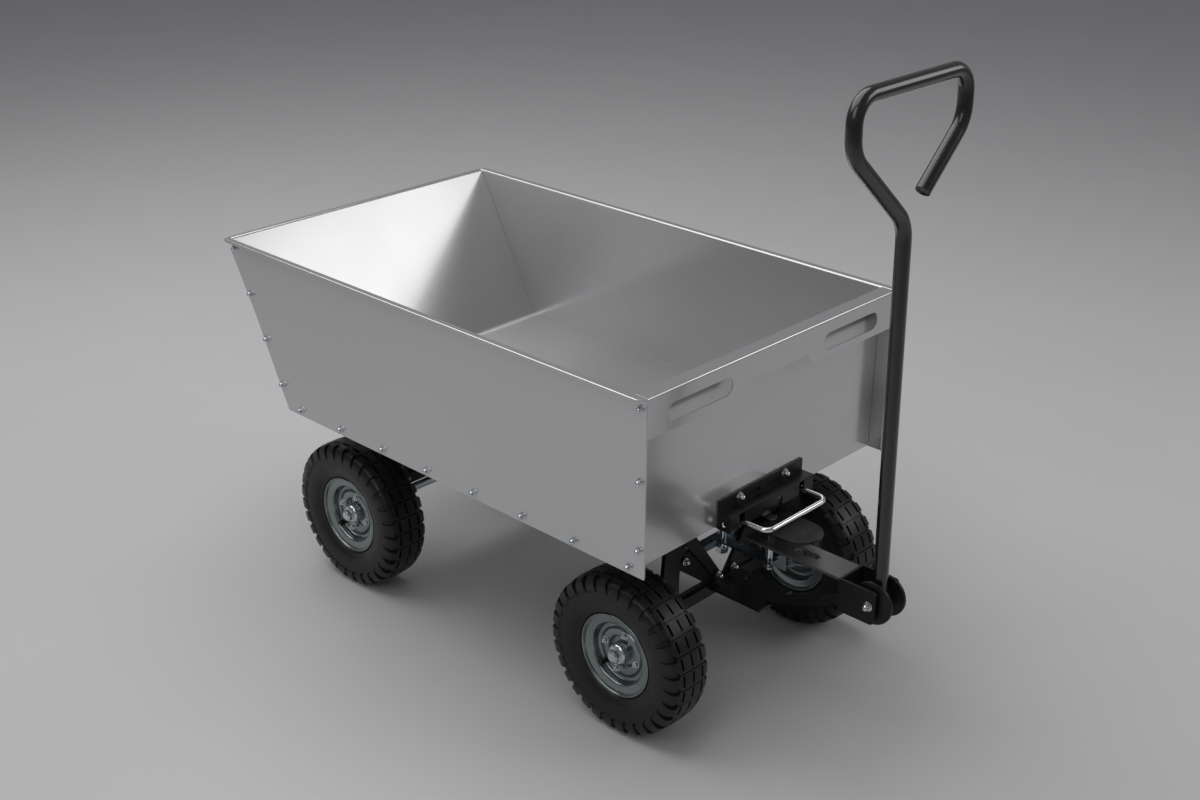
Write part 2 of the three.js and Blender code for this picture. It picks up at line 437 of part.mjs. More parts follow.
// ---- origin at the bottom centre -------------------------------------------------
const yMin = FORK_Y - DISC_R, yMax = SLOPE_HEAD + 10;
cart.position.y = -(yMin + yMax) / 2;

export default cart;
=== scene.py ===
"""Looks of a four-wheel steel dump cart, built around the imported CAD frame.

All sizes are in metres. +X is the cart's right, -Y is the handle end, +Z is up and the ground is Z = 0.
A side is -1 for left and 1 for right.
"""
import json
import math

import bmesh
import bpy
from mathutils import Matrix, Vector


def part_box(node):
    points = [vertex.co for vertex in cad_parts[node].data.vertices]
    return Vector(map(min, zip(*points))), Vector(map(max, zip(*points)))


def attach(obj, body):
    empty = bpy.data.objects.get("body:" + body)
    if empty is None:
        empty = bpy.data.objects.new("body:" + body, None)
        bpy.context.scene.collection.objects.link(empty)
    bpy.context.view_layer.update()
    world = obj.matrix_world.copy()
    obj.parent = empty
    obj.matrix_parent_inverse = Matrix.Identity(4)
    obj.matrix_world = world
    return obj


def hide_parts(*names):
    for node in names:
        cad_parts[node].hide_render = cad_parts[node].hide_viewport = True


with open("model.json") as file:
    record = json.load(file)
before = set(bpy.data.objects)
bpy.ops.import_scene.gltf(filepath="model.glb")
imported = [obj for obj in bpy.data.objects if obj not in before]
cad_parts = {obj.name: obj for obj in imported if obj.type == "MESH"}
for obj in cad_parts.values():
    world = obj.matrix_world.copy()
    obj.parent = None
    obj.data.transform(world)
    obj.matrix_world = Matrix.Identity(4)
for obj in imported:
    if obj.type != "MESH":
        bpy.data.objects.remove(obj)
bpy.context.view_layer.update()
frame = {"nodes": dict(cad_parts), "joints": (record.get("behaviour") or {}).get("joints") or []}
scene = bpy.context.scene
SIDES = (("left", -1), ("right", 1))


def middle(node):
    """The middle of a CAD node's box."""
    lo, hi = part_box(node)
    return (lo + hi) / 2


# ---- sizes of the tub, taken from the frame ------------------------------------------
SIDE_LO, SIDE_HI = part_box("tub_side_left")
PANEL_LO, PANEL_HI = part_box("tub_front_panel")
SHEET = 0.0015                            # thickness of all the tub's sheets
TUB_FRONT, TUB_REAR = SIDE_LO.y, SIDE_HI.y
TUB_TOP, TUB_BOTTOM = SIDE_HI.z, SIDE_LO.z
PLATE_IN = -SIDE_HI.x                     # inner face of a side plate, as a distance from the middle
PLATE_OUT = PLATE_IN + SHEET              # its outer face
LIP = -SIDE_LO.x - PLATE_OUT              # how far the rolled lip stands out
LIP_DROP = 0.0045                         # how far the lip's edge is turned down
INNER = -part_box("tub_floor")[0].x + 0.0003      # half width of the floor and the front panel
PANEL_BACK = PANEL_HI.y                   # inner face of the front panel
REAR_RAKE = 0.136                         # how far the plates' rear edge leans back
SLOPE_FOOT, SLOPE_HEAD = 0.443, 0.585     # where the rear slope starts and ends
FLOOR_Z = 0.332


# ---- materials -----------------------------------------------------------------------
def surface(name, base, metallic=0.0, roughness=0.5, spread=0.05, mottle=0.08, mottle_scale=30.0,
            grain=(1, 1, 1), bump=0.0, bump_scale=400.0, coat=0.0, coat_roughness=0.1,
            dust=0.0, specular=0.5):
    """A principled material whose colour, roughness and normal vary with noise in object space."""
    mat = bpy.data.materials.new(name)
    mat.use_nodes = True
    nodes, links = mat.node_tree.nodes, mat.node_tree.links
    shader = nodes["Principled BSDF"]
    shader.inputs["Metallic"].default_value = metallic
    shader.inputs["Coat Weight"].default_value = coat
    shader.inputs["Coat Roughness"].default_value = coat_roughness
    shader.inputs["Specular IOR Level"].default_value = specular
    coord = nodes.new("ShaderNodeTexCoord")
    stretch = nodes.new("ShaderNodeMapping")
    stretch.inputs["Scale"].default_value = grain
    links.new(coord.outputs["Object"], stretch.inputs["Vector"])

    def noise(scale, detail, vector):
        """A noise texture's value at a vector."""
        node = nodes.new("ShaderNodeTexNoise")
        node.inputs["Scale"].default_value = scale
        node.inputs["Detail"].default_value = detail
        links.new(vector, node.inputs["Vector"])
        return node.outputs["Fac"]

    def spread_to(value, low, high):
        """Maps the noise's usual values, 0.3 to 0.7, to low and high."""
        node = nodes.new("ShaderNodeMapRange")
        node.inputs["From Min"].default_value = 0.3
        node.inputs["From Max"].default_value = 0.7
        node.inputs["To Min"].default_value = low
        node.inputs["To Max"].default_value = high
        links.new(value, node.inputs["Value"])
        return node.outputs["Result"]

    def mixed(factor, first, second):
        """A blend of two colours, where each is a socket or three numbers."""
        node = nodes.new("ShaderNodeMix")
        node.data_type = "RGBA"
        links.new(factor, node.inputs["Factor"])
        for socket, value in ((node.inputs[6], first), (node.inputs[7], second)):
            if isinstance(value, bpy.types.NodeSocket):
                links.new(value, socket)
            else:
                socket.default_value = (*value, 1)
        return node.outputs[2]

    broad = noise(mottle_scale, 4, stretch.outputs["Vector"])
    dark = tuple(c * (1 - mottle) for c in base)
    light = tuple(min(1, c * (1 + mottle)) for c in base)
    colour = mixed(spread_to(broad, 0, 1), dark, light)
    rough = spread_to(noise(mottle_scale * 2.3, 5, stretch.outputs["Vector"]),
                      max(0.02, roughness - spread), min(1, roughness + spread))
    if dust:
        film = spread_to(noise(mottle_scale * 0.4, 6, coord.outputs["Object"]), 0, dust)
        colour = mixed(film, colour, (0.16, 0.15, 0.14))
    links.new(colour, shader.inputs["Base Color"])
    links.new(rough, shader.inputs["Roughness"])
    if bump:
        relief = nodes.new("ShaderNodeBump")
        relief.inputs["Strength"].default_value = 1.0
        relief.inputs["Distance"].default_value = bump
        links.new(noise(bump_scale, 3, stretch.outputs["Vector"]), relief.inputs["Height"])
        links.new(relief.outputs["Normal"], shader.inputs["Normal"])
    return mat


SHEET_STEEL = surface(
    "galvanised_sheet", (0.56, 0.56, 0.565), metallic=0.72, roughness=0.22, spread=0.012, mottle=0.012,
    mottle_scale=5, grain=(1, 0.5, 1), bump=0.0000006, bump_scale=1400, coat=0.5, coat_roughness=0.05)
BLACK = surface(
    "black_powder_coat", (0.0075, 0.0075, 0.008), roughness=0.42, spread=0.06, mottle=0.2,
    mottle_scale=40, bump=0.00004, bump_scale=900, specular=0.3)
ROD_BLACK = surface(
    "handle_coat", (0.009, 0.009, 0.0095), roughness=0.22, spread=0.03, mottle=0.2,
    mottle_scale=35, bump=0.00001, bump_scale=1100, coat=0.6, coat_roughness=0.12)
LIGHT_GREY = surface(
    "drawbar_plate_coat", (0.11, 0.11, 0.112), metallic=0.3, roughness=0.36, spread=0.05, mottle=0.06,
    mottle_scale=25, bump=0.00002, bump_scale=900)
ZINC = surface(
    "zinc_plate", (0.62, 0.64, 0.66), metallic=1.0, roughness=0.16, spread=0.04, mottle=0.06,
    mottle_scale=120, bump=0.000003, bump_scale=1500)
STEEL_BLUE = surface(
    "passivated_zinc", (0.10, 0.14, 0.17), metallic=0.9, roughness=0.3, spread=0.07, mottle=0.12,
    mottle_scale=60, bump=0.00004, bump_scale=900)
RIM_ZINC = surface(
    "rim_zinc", (0.235, 0.265, 0.262), metallic=0.9, roughness=0.17, spread=0.03, mottle=0.08,
    mottle_scale=35, bump=0.000003, bump_scale=900)
CHROME = surface(
    "chrome_wire", (0.86, 0.86, 0.87), metallic=1.0, roughness=0.1, spread=0.04, mottle=0.03,
    mottle_scale=80, bump=0.00001, bump_scale=600)
RUBBER = surface(
    "tyre_rubber", (0.0085, 0.0085, 0.009), roughness=0.36, spread=0.05, mottle=0.25, mottle_scale=45,
    bump=0.00002, bump_scale=900, dust=0.012, specular=0.36)


# ---- pieces and modifiers ------------------------------------------------------------
def piece(name, bm, body, material, replaces=(), sharp=32.0, facing=None):
    """Turns a bmesh into a named piece on a CAD body. The first face of an open sheet looks to facing."""
    bmesh.ops.recalc_face_normals(bm, faces=bm.faces)
    bm.faces.ensure_lookup_table()
    if facing and bm.faces[0].normal.dot(Vector(facing)) < 0:
        bmesh.ops.reverse_faces(bm, faces=bm.faces)
    mesh = bpy.data.meshes.new(name)
    bm.to_mesh(mesh)
    bm.free()
    mesh.materials.append(material)
    mesh.shade_smooth()
    mesh.set_sharp_from_angle(angle=math.radians(sharp))
    obj = bpy.data.objects.new(name, mesh)
    scene.collection.objects.link(obj)
    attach(obj, body)
    if replaces:
        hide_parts(*replaces)
    return obj


def round_edges(obj, width):
    """Softens the sharp edges, so that they catch the light."""
    bevel = obj.modifiers.new("edges", "BEVEL")
    bevel.width = width
    bevel.segments = 2
    bevel.limit_method = "ANGLE"
    bevel.angle_limit = math.radians(35)
    bevel.use_clamp_overlap = True
    normals = obj.modifiers.new("normals", "WEIGHTED_NORMAL")
    normals.keep_sharp = False


def sheet_metal(obj, offset, edge):
    """Gives an open sheet its thickness: offset -1 is all behind its faces, 0 is half on each side."""
    solid = obj.modifiers.new("sheet", "SOLIDIFY")
    solid.thickness = SHEET
    solid.offset = offset
    solid.use_even_offset = True
    round_edges(obj, edge)


def dress(node, material, edge=0.0006):
    """Gives a carried-over CAD node its material and soft edges."""
    obj = frame["nodes"][node]
    obj.data.materials.clear()
    obj.data.materials.append(material)
    obj.data.polygons.foreach_set("use_smooth", [True] * len(obj.data.polygons))
    weld = obj.modifiers.new("weld", "WELD")
    weld.merge_threshold = 0.00001
    flat = obj.modifiers.new("flats", "DECIMATE")
    flat.decimate_type = "DISSOLVE"
    flat.angle_limit = math.radians(1.5)
    round_edges(obj, edge)


# ---- curves and meshes ---------------------------------------------------------------
def quarter(steps, first=0):
    """The angles of a quarter turn in radians, from step first to the last step."""
    return [math.pi / 2 * k / steps for k in range(first, steps + 1)]


def circle_points(centre, side, other, radius, count):
    """Points of a circle round centre, in the plane of the unit vectors side and other."""
    angles = [2 * math.pi * k / count for k in range(count)]
    return [centre + (side * math.cos(a) + other * math.sin(a)) * radius for a in angles]


def arc(cx, cy, radius, start, end, steps):
    """Points of an arc in degrees, from start to end."""
    angles = [math.radians(start + (end - start) * k / steps) for k in range(steps + 1)]
    return [(cx + radius * math.cos(a), cy + radius * math.sin(a)) for a in angles]


def setback(radius, past):
    """How far a round corner lies back from its straight side, at a distance past the corner's start."""
    return radius - math.sqrt(max(0.0, radius ** 2 - past ** 2))


def filleted(points, radii, steps):
    """A path of straight runs whose corners are true arcs."""
    path = [Vector(points[0])]
    for i in range(1, len(points) - 1):
        corner = Vector(points[i])
        back = (Vector(points[i - 1]) - corner).normalized()
        on = (Vector(points[i + 1]) - corner).normalized()
        half = back.angle(on) / 2
        centre = corner + (back + on).normalized() * (radii[i] / math.sin(half))
        first = (corner + back * (radii[i] / math.tan(half)) - centre).normalized()
        last = (corner + on * (radii[i] / math.tan(half)) - centre).normalized()
        path += [centre + first.slerp(last, k / steps) * radii[i] for k in range(steps + 1)]
    path.append(Vector(points[-1]))
    return path


def bridge(bm, first, second):
    """Faces between two closed rings of vertices. A ring of one vertex is a point."""
    count = max(len(first), len(second))
    for k in range(count):
        n = (k + 1) % count
        if len(first) == 1:
            bm.faces.new((first[0], second[n], second[k]))
        elif len(second) == 1:
            bm.faces.new((first[k], first[n], second[0]))
        else:
            bm.faces.new((first[k], first[n], second[n], second[k]))


def turn(bm, profile, origin, axis, segments, closed=False):
    """Turns a profile of (along, radius) points about an axis. A zero radius makes a single point."""
    origin, axis = Vector(origin), Vector(axis).normalized()
    side = axis.orthogonal().normalized()
    other = axis.cross(side)
    rings = []
    for along, radius in profile:
        centre = origin + axis * along
        points = [centre] if radius < 1e-7 else circle_points(centre, side, other, radius, segments)
        rings.append([bm.verts.new(p) for p in points])
    for a, b in zip(rings, rings[1:]):
        bridge(bm, a, b)
    if closed:
        bridge(bm, rings[-1], rings[0])


def tube(bm, path, radius, sides=20, round_end=0.25):
    """A closed round bar along a path. Its ends are rounded by the share round_end of its radius."""
    edge = radius * round_end
    path = [Vector(p) for p in path]
    steps = [(b - a).normalized() for a, b in zip(path, path[1:])]
    tangents = [steps[0]] + [(a + b).normalized() for a, b in zip(steps, steps[1:])] + [steps[-1]]
    cap = [(edge * (1 - math.sin(a)), radius - edge + edge * math.sin(a)) for a in quarter(3)]
    stops = [(path[0] + tangents[0] * inset, size, tangents[0]) for inset, size in cap]
    stops += [(p, radius, t) for p, t in zip(path[1:-1], tangents[1:-1])]
    stops += [(path[-1] - tangents[-1] * inset, size, tangents[-1]) for inset, size in reversed(cap)]
    side = tangents[0].orthogonal().normalized()
    rings = []
    for centre, size, tangent in stops:
        side = (side - tangent * side.dot(tangent)).normalized()
        points = circle_points(centre, side, tangent.cross(side), size, sides)
        rings.append([bm.verts.new(p) for p in points])
    for a, b in zip(rings, rings[1:]):
        bridge(bm, a, b)
    bm.faces.new(rings[0])
    bm.faces.new(list(reversed(rings[-1])))


def strip(bm, rows):
    """Faces between rows of points of the same count."""
    made = [[bm.verts.new(p) for p in row] for row in rows]
    for a, b in zip(made, made[1:]):
        for k in range(len(a) - 1):
            bm.faces.new((a[k], a[k + 1], b[k + 1], b[k]))


def fill(bm, loops):
    """Fills an outline with holes. Each loop is a list of points."""
    edges = []
    for loop in loops:
        verts = [bm.verts.new(p) for p in loop]
        edges += [bm.edges.new((verts[k], verts[(k + 1) % len(verts)])) for k in range(len(verts))]
    bmesh.ops.triangle_fill(bm, use_beauty=True, edges=edges)


# ---- fasteners -----------------------------------------------------------------------
def hexagon(bm, origin, axis, radius, height):
    """A hexagon nut or bolt head with a chamfered outer face."""
    profile = [(0, 0), (0, radius), (height * 0.82, radius), (height, radius * 0.84), (height, 0)]
    turn(bm, profile, origin, axis, 6)


def washer(bm, origin, axis, radius, height=0.0009):
    """A round washer with a soft outer edge."""
    profile = [(0, 0), (0, radius), (height * 0.7, radius), (height, radius * 0.93), (height, 0)]
    turn(bm, profile, origin, axis, 24)


def cap_nut(bm, origin, axis, radius):
    """A washer, a hexagon and a dome, about as wide as twice the radius."""
    axis = Vector(axis).normalized()
    origin = Vector(origin)
    seat, dome_r, top = 0.0008, radius * 0.74, radius * 1.05
    washer(bm, origin, axis, radius * 1.12)
    hexagon(bm, origin + axis * seat, axis, radius, radius * 0.42)
    dome = [(radius * (0.35 + 0.7 * math.sin(a)), dome_r * math.cos(a)) for a in quarter(6)[:-1]]
    profile = [(-0.0005, 0), (-0.0005, dome_r), *dome, (top, 0)]
    turn(bm, profile, origin + axis * (seat + radius * 0.36), axis, 18)


def hex_bolt(bm, origin, axis, radius, shank=0.0):
    """A washer and a hexagon head, and the end of the shank if it shows."""
    axis = Vector(axis).normalized()
    origin = Vector(origin)
    washer(bm, origin, axis, radius * 1.2)
    hexagon(bm, origin + axis * 0.0009, axis, radius, radius * 0.62)
    if shank:
        r = radius * 0.52
        profile = [(0, 0), (0, r), (shank - r * 0.2, r), (shank, r * 0.75), (shank, 0)]
        turn(bm, profile, origin + axis * (radius * 0.6), axis, 18)


# ---- tub: side plates ----------------------------------------------------------------
LIP_BEND, LIP_TIP = 0.0038, 0.002         # radii of the lip's inner bend and of its outer edge
PLATE_COLUMNS = 24
BOLT_PITCH, BOLT_RISE, BOLT_EDGE = 0.1074, 0.0105, 0.009
BOTTOM_BOLTS = [(TUB_REAR - REAR_RAKE - 0.036 - BOLT_PITCH * i, TUB_BOTTOM + BOLT_RISE) for i in range(8)]
SLOPE_BOLTS = [(TUB_REAR - REAR_RAKE * t - BOLT_EDGE, TUB_TOP - (TUB_TOP - TUB_BOTTOM) * t + 0.003)
               for t in (0.065, 0.327, 0.589, 0.851)]
FRONT_BOLTS = [(TUB_FRONT + 0.01, TUB_TOP - drop) for drop in (0.018, 0.127, 0.234)]


def side_section():
    """The inner face of a plate and the top of its lip as (out, z). Out starts at the plate's outer face."""
    bend, tip = LIP_BEND, LIP_TIP
    section = [(-SHEET, TUB_BOTTOM), (-SHEET, TUB_TOP - bend)]
    section += [(-SHEET + bend - bend * math.cos(a), TUB_TOP - bend + bend * math.sin(a))
                for a in quarter(5, 1)]
    section += [(LIP * 0.35, TUB_TOP), (LIP * 0.6, TUB_TOP), (LIP - tip, TUB_TOP)]
    section += [(LIP - tip + tip * math.sin(a), TUB_TOP - tip + tip * math.cos(a)) for a in quarter(4, 1)]
    section.append((LIP, TUB_TOP - LIP_DROP))
    return section


def side_plate(word, side):
    """One side plate as a bent sheet, whose lip has a wide front corner and a small rear corner."""
    rear_corner = 0.004
    rows = []
    for out, z in side_section():
        front = TUB_FRONT
        rear = TUB_REAR - REAR_RAKE * (TUB_TOP - z) / (TUB_TOP - TUB_BOTTOM)
        if out > 0:
            front += 0.001 + setback(LIP, min(out, LIP))
            rear -= setback(rear_corner, max(0.0, out - LIP + rear_corner))
        x = side * (PLATE_OUT + out)
        rows.append([(x, front + (rear - front) * k / PLATE_COLUMNS, z) for k in range(PLATE_COLUMNS + 1)])
    bm = bmesh.new()
    strip(bm, rows)
    obj = piece(f"side_sheet_{word}", bm, "tub", SHEET_STEEL, [f"tub_side_{word}"], sharp=50,
                facing=(-side, 0, 0))
    sheet_metal(obj, -1, 0.0004)


def side_bolts(word, side):
    """The cap nuts along the foot, the slope and the front edge of a side plate."""
    bm = bmesh.new()
    for y, z in BOTTOM_BOLTS + SLOPE_BOLTS + FRONT_BOLTS:
        cap_nut(bm, (side * PLATE_OUT, y, z), (side, 0, 0), 0.0056)
    piece(f"side_nuts_{word}", bm, "tub", ZINC)


# ---- tub: floor and front panel --------------------------------------------------------
FLAP_DROP, FLAP_CORNER = 0.062, 0.006     # the flap's height and its lower corners
SLOT_LEN, SLOT_H, SLOT_X = 0.137, 0.028, 0.175
NOTCH_FOOT, NOTCH_TOP, NOTCH_H = 0.081, 0.063, 0.019
FOLD_BEND = 0.003                         # radius of the fold above the front panel
FRONT_Y, BACK_Y = PANEL_LO.y + SHEET / 2, PANEL_BACK - SHEET / 2      # mid planes of the flap and the panel
FOLD_Z = TUB_TOP - SHEET / 2              # mid plane of the fold


def floor_section(rake):
    """The upper face of the floor, the rear slope and the rear lip as (y, z)."""
    bend = 0.009
    tilt = math.degrees(math.atan2(rake.y, rake.x))
    trim = bend * math.tan(math.radians(tilt / 2))
    head = Vector((SLOPE_HEAD, TUB_TOP)) - rake * 0.003
    return [(PANEL_BACK + 0.0004, FLOOR_Z),
            *arc(SLOPE_FOOT - trim, FLOOR_Z + bend, bend, -90, -90 + tilt, 8),
            tuple(head),
            (SLOPE_HEAD + 0.0012, TUB_TOP - 0.0004),
            (SLOPE_HEAD + 0.0030, TUB_TOP),
            (SLOPE_HEAD + 0.0080, TUB_TOP),
            (SLOPE_HEAD + 0.0097, TUB_TOP - 0.0007),
            (SLOPE_HEAD + 0.0100, TUB_TOP - LIP_DROP)]


def floor_sheet():
    """Floor, rear slope and rear lip as one bent sheet, with flanges turned down at both sides."""
    rake = Vector((SLOPE_HEAD - SLOPE_FOOT, TUB_TOP - FLOOR_Z)).normalized()
    bm = bmesh.new()
    xs = [-INNER + 2 * INNER * k / 12 for k in range(13)]
    strip(bm, [[(x, y, z) for x in xs] for y, z in floor_section(rake)])
    obj = piece("floor_sheet", bm, "tub", SHEET_STEEL, ["tub_floor"], sharp=50,
                facing=(0, 0, 1))
    sheet_metal(obj, -1, 0.0004)
    flange, foot = 0.014, TUB_BOTTOM + 0.002
    start, head = PANEL_BACK + 0.004, Vector((SLOPE_HEAD - 0.006, TUB_TOP - 0.014))
    down = Vector((rake.y, -rake.x)) * flange
    upper = [(start, FLOOR_Z - SHEET), (SLOPE_FOOT, FLOOR_Z - SHEET), tuple(head)]
    lower = [(start, foot), (SLOPE_FOOT + down.x * 0.4, foot), tuple(head + down)]
    bm = bmesh.new()
    for side in (-1, 1):
        x = side * (INNER - SHEET / 2)
        strip(bm, [[(x, y, z) for y, z in row] for row in (upper, lower)])
    sheet_metal(piece("floor_flanges", bm, "tub", SHEET_STEEL), 0, 0.0003)


def flap_loops():
    """The flap's outline with its notch, and its two hand slots, as lists of (x, z)."""
    foot = TUB_TOP - FLAP_DROP
    top = FOLD_Z - FOLD_BEND
    corner_x, corner_z = INNER - FLAP_CORNER, foot + FLAP_CORNER
    outline = [(-INNER, top),
               *arc(-corner_x, corner_z, FLAP_CORNER, 180, 270, 5),
               (-NOTCH_FOOT, foot),
               (-NOTCH_TOP, foot + NOTCH_H),
               (NOTCH_TOP, foot + NOTCH_H),
               (NOTCH_FOOT, foot),
               *arc(corner_x, corner_z, FLAP_CORNER, 270, 360, 5),
               (INNER, top)]
    radius = SLOT_H / 2
    half = SLOT_LEN / 2 - radius
    z = TUB_TOP - 0.022 - radius
    slots = [arc(x + half, z, radius, -90, 90, 12) + arc(x - half, z, radius, 90, 270, 12)
             for x in (-SLOT_X, SLOT_X)]
    return [outline, *slots]


def front_panel():
    """Front panel, top fold and flap as one bent sheet, and the two flanges that close its sides."""
    bend = FOLD_BEND
    section = [(BACK_Y, PANEL_LO.z), (BACK_Y, FOLD_Z - bend)]
    section += [(BACK_Y - bend + bend * math.cos(a), FOLD_Z - bend + bend * math.sin(a))
                for a in quarter(5, 1)]
    section += [(FRONT_Y + bend - bend * math.sin(a), FOLD_Z - bend + bend * math.cos(a))
                for a in quarter(5)]
    bm = bmesh.new()
    strip(bm, [[(-INNER, y, z), (INNER, y, z)] for y, z in section])
    fill(bm, [[(x, FRONT_Y, z) for x, z in loop] for loop in flap_loops()])
    bmesh.ops.remove_doubles(bm, verts=bm.verts, dist=0.00001)
    obj = piece("front_panel_sheet", bm, "tub", SHEET_STEEL, ["tub_front_panel"], sharp=50)
    sheet_metal(obj, 0, 0.0004)
    low, high = TUB_BOTTOM + 0.003, TUB_TOP - FLAP_DROP * 0.4
    near, far = TUB_FRONT + 0.0004, BACK_Y - 0.001
    bm = bmesh.new()
    for side in (-1, 1):
        x = side * (INNER - SHEET / 2)
        strip(bm, [[(x, near, low), (x, far, low + 0.005)], [(x, near, high), (x, far, high)]])
    sheet_metal(piece("front_panel_flanges", bm, "tub", SHEET_STEEL), 0, 0.0003)


def floor_bolts():
    """Low round heads that hold the floor to the hinge angles."""
    rise, radius = 0.0026, 0.0068
    dome = [(rise * math.sin(a), radius * math.cos(a)) for a in quarter(6)[:-1]]
    bm = bmesh.new()
    for x in (-0.128, 0.128):
        for y in (0.064, 0.297):
            turn(bm, [(-0.0003, 0), *dome, (rise, 0)], (x, y, FLOOR_Z), (0, 0, 1), 24)
    piece("floor_bolts", bm, "tub", ZINC)


# ---- wheels: tyre --------------------------------------------------------------------
PITCHES = 30                              # tread blocks round the tyre
PITCH = 360 / PITCHES                     # degrees that a block takes
STATIONS = 10                             # vertices round the tyre in each block
TREAD_TURN = {"front_left": 2.0, "front_right": 5.0, "rear_left": 9.0, "rear_right": 0.0}
SHALLOW = 0.0021                          # depth of the thin cuts across the ribs
BEAD = [(0.0220, 0.0630), (0.0285, 0.0630), (0.0290, 0.0689), (0.0318, 0.0706), (0.0330, 0.0726),
        (0.0332, 0.0742)]
WALL_CURVE = [Vector((0.0336, 0.0752)), Vector((0.0372, 0.0790)), Vector((0.0398, 0.0880)),
              Vector((0.0394, 0.1025))]
SHOULDER, SHOULDER_RUN = 0.1045, 0.018    # radius where the shoulder grooves start, and how far they widen
# (out, radius) of the rubber's surface, (out, radius) of the bottom of a groove there, and the kind of groove
TREAD = [
    ((0.0393, 0.1045), (0.0393, 0.1045), "foot"),
    ((0.0408, 0.1062), (0.0391, 0.1062), "lug"),
    ((0.0406, 0.1120), (0.0383, 0.1115), "lug"),
    ((0.0394, 0.1178), (0.0364, 0.1163), "lug"),
    ((0.0372, 0.1228), (0.0338, 0.1200), "lug"),
    ((0.0352, 0.1252), (0.0322, 0.1214), "lug"),
    ((0.0318, 0.1270), (0.0300, 0.1228), "lug"),
    ((0.0282, 0.1281), (0.0274, 0.1238), "lug"),
    ((0.0276, 0.1283), (0.0276, 0.1262), "thin"),
    ((0.0222, 0.1291), (0.0222, 0.1270), "thin"),
    ((0.0218, 0.1292), (0.0218, 0.1238), "slot"),
    ((0.0182, 0.1295), (0.0182, 0.1238), "slot"),
    ((0.0178, 0.1295), (0.0178, 0.1274), "thin"),
    ((0.0095, 0.1299), (0.0095, 0.1278), "thin"),
    ((0.0019, 0.1300), (0.0019, 0.1279), "thin"),
    ((0.0015, 0.1300), (0.0015, 0.1250), "slot"),
]
CARCASS = [(-0.0215, 0.0650), (-0.0270, 0.0900), (-0.0250, 0.1130), (0.0250, 0.1130), (0.0270, 0.0900),
           (0.0215, 0.0650)]


def tyre_rows():
    """Half of the tyre's section, from the bead to the middle of the tread, in the form of TREAD's rows."""
    a, b, c, d = WALL_CURVE
    rows = [(spot, None, "") for spot in BEAD]
    for k in range(1, 10):
        t = k / 9
        p = a * (1 - t) ** 3 + b * 3 * t * (1 - t) ** 2 + c * 3 * t * t * (1 - t) + d * t ** 3
        rows.append(((p.x, p.y), None, ""))
    return rows + TREAD


def tread_spots(top, low, kind):
    """One block's vertices in a row of the section, each as (degrees, out, radius)."""
    shoulder = kind in ("lug", "foot")
    width, wall = 0.8, 0.25
    if shoulder:
        width = 2.0 + 2.9 * min(1.0, max(0.0, (top[1] - SHOULDER) / SHOULDER_RUN))
        wall = 0.45
    first, last = 0.5 - width / 2, 0.5 + width / 2
    after = PITCH + first
    stations = [(first, "top"), (first + wall, "groove"), (last - wall, "groove"), (last, "top"),
                (max(2.0, last + 0.25), "top"), (max(2.3, last + 0.5), "bar"), (6.2, "bar"),
                (min(9.9, after - 0.9), "bar"), (min(10.2, after - 0.6), "top"),
                (min(11.2, after - 0.3), "top")]
    spots = []
    for angle, place in stations:
        out, radius = top
        lift = 0.0028 * (angle - last) / PITCH
        if kind in ("lug", "thin") and place == "groove":
            out, radius = low
        elif kind == "slot" and place == "bar":
            out, radius = low
        elif kind == "slot" and place == "groove":
            radius -= SHALLOW
        elif kind == "foot" or (kind == "lug" and top[1] < 0.107):
            radius += lift
        spots.append((angle, out, radius))
    return spots


def tyre(name, centre):
    """A tyre with a closed section, in which each block has the same vertices round the wheel."""
    half = tyre_rows()
    rows = []
    for side, half_rows in ((1, half), (-1, reversed(half))):
        for top, low, kind in half_rows:
            rows.append([(angle, side * out, radius) for angle, out, radius in tread_spots(top, low, kind)])
    step = PITCH / STATIONS
    rows += [[(step * k, out, radius) for k in range(STATIONS)] for out, radius in CARCASS]
    bm = bmesh.new()
    rings = []
    for spots in rows:
        ring = []
        for block in range(PITCHES):
            for angle, out, radius in spots:
                a = math.radians(TREAD_TURN[name] + PITCH * block + angle)
                ring.append(bm.verts.new(centre + Vector((out, radius * math.cos(a), radius * math.sin(a)))))
        rings.append(ring)
    for a, b in zip(rings, rings[1:] + rings[:1]):
        bridge(bm, a, b)
    piece(f"{name}_tread", bm, f"wheel_{name}", RUBBER, [f"tyre_{name}"], sharp=28)


# ---- wheels: rim, hub and valve ------------------------------------------------------
RIM_METAL = 0.0021                        # thickness of the pressed rim
RIM_BACK_ROWS = 17                        # rows of the face whose back shows, before the tyre hides it
RIM_WELL = [(0.0296, 0.0680), (0.0288, 0.0668), (0.0295, 0.0625), (0.0215, 0.0597), (0.0100, 0.0575),
            (0.0004, 0.0572), (0.0004, 0.0548)]


def rim_face():
    """Front face of one pressed rim half as (out, radius), from the hub to the rolled edge."""
    face = [(0.0092, 0.0175), (0.0092, 0.0232), (0.0112, 0.0252), (0.0150, 0.0262), (0.0162, 0.0275),
            (0.0164, 0.0300), (0.0164, 0.0370), (0.0156, 0.0384), (0.0128, 0.0396), (0.0118, 0.0410),
            (0.0118, 0.0438)]
    face += [(0.0150 - 0.0032 * math.cos(a), 0.0438 + 0.0050 * math.sin(a)) for a in quarter(5, 1)]
    face += [(0.0225, 0.0500), (0.0245, 0.0508), (0.0256, 0.0522), (0.0262, 0.0545), (0.0276, 0.0600),
             (0.0288, 0.0640)]
    face += [(0.0300 + y, 0.0664 + x) for x, y in arc(0, 0, 0.0016, 180, 0, 8)]
    return face


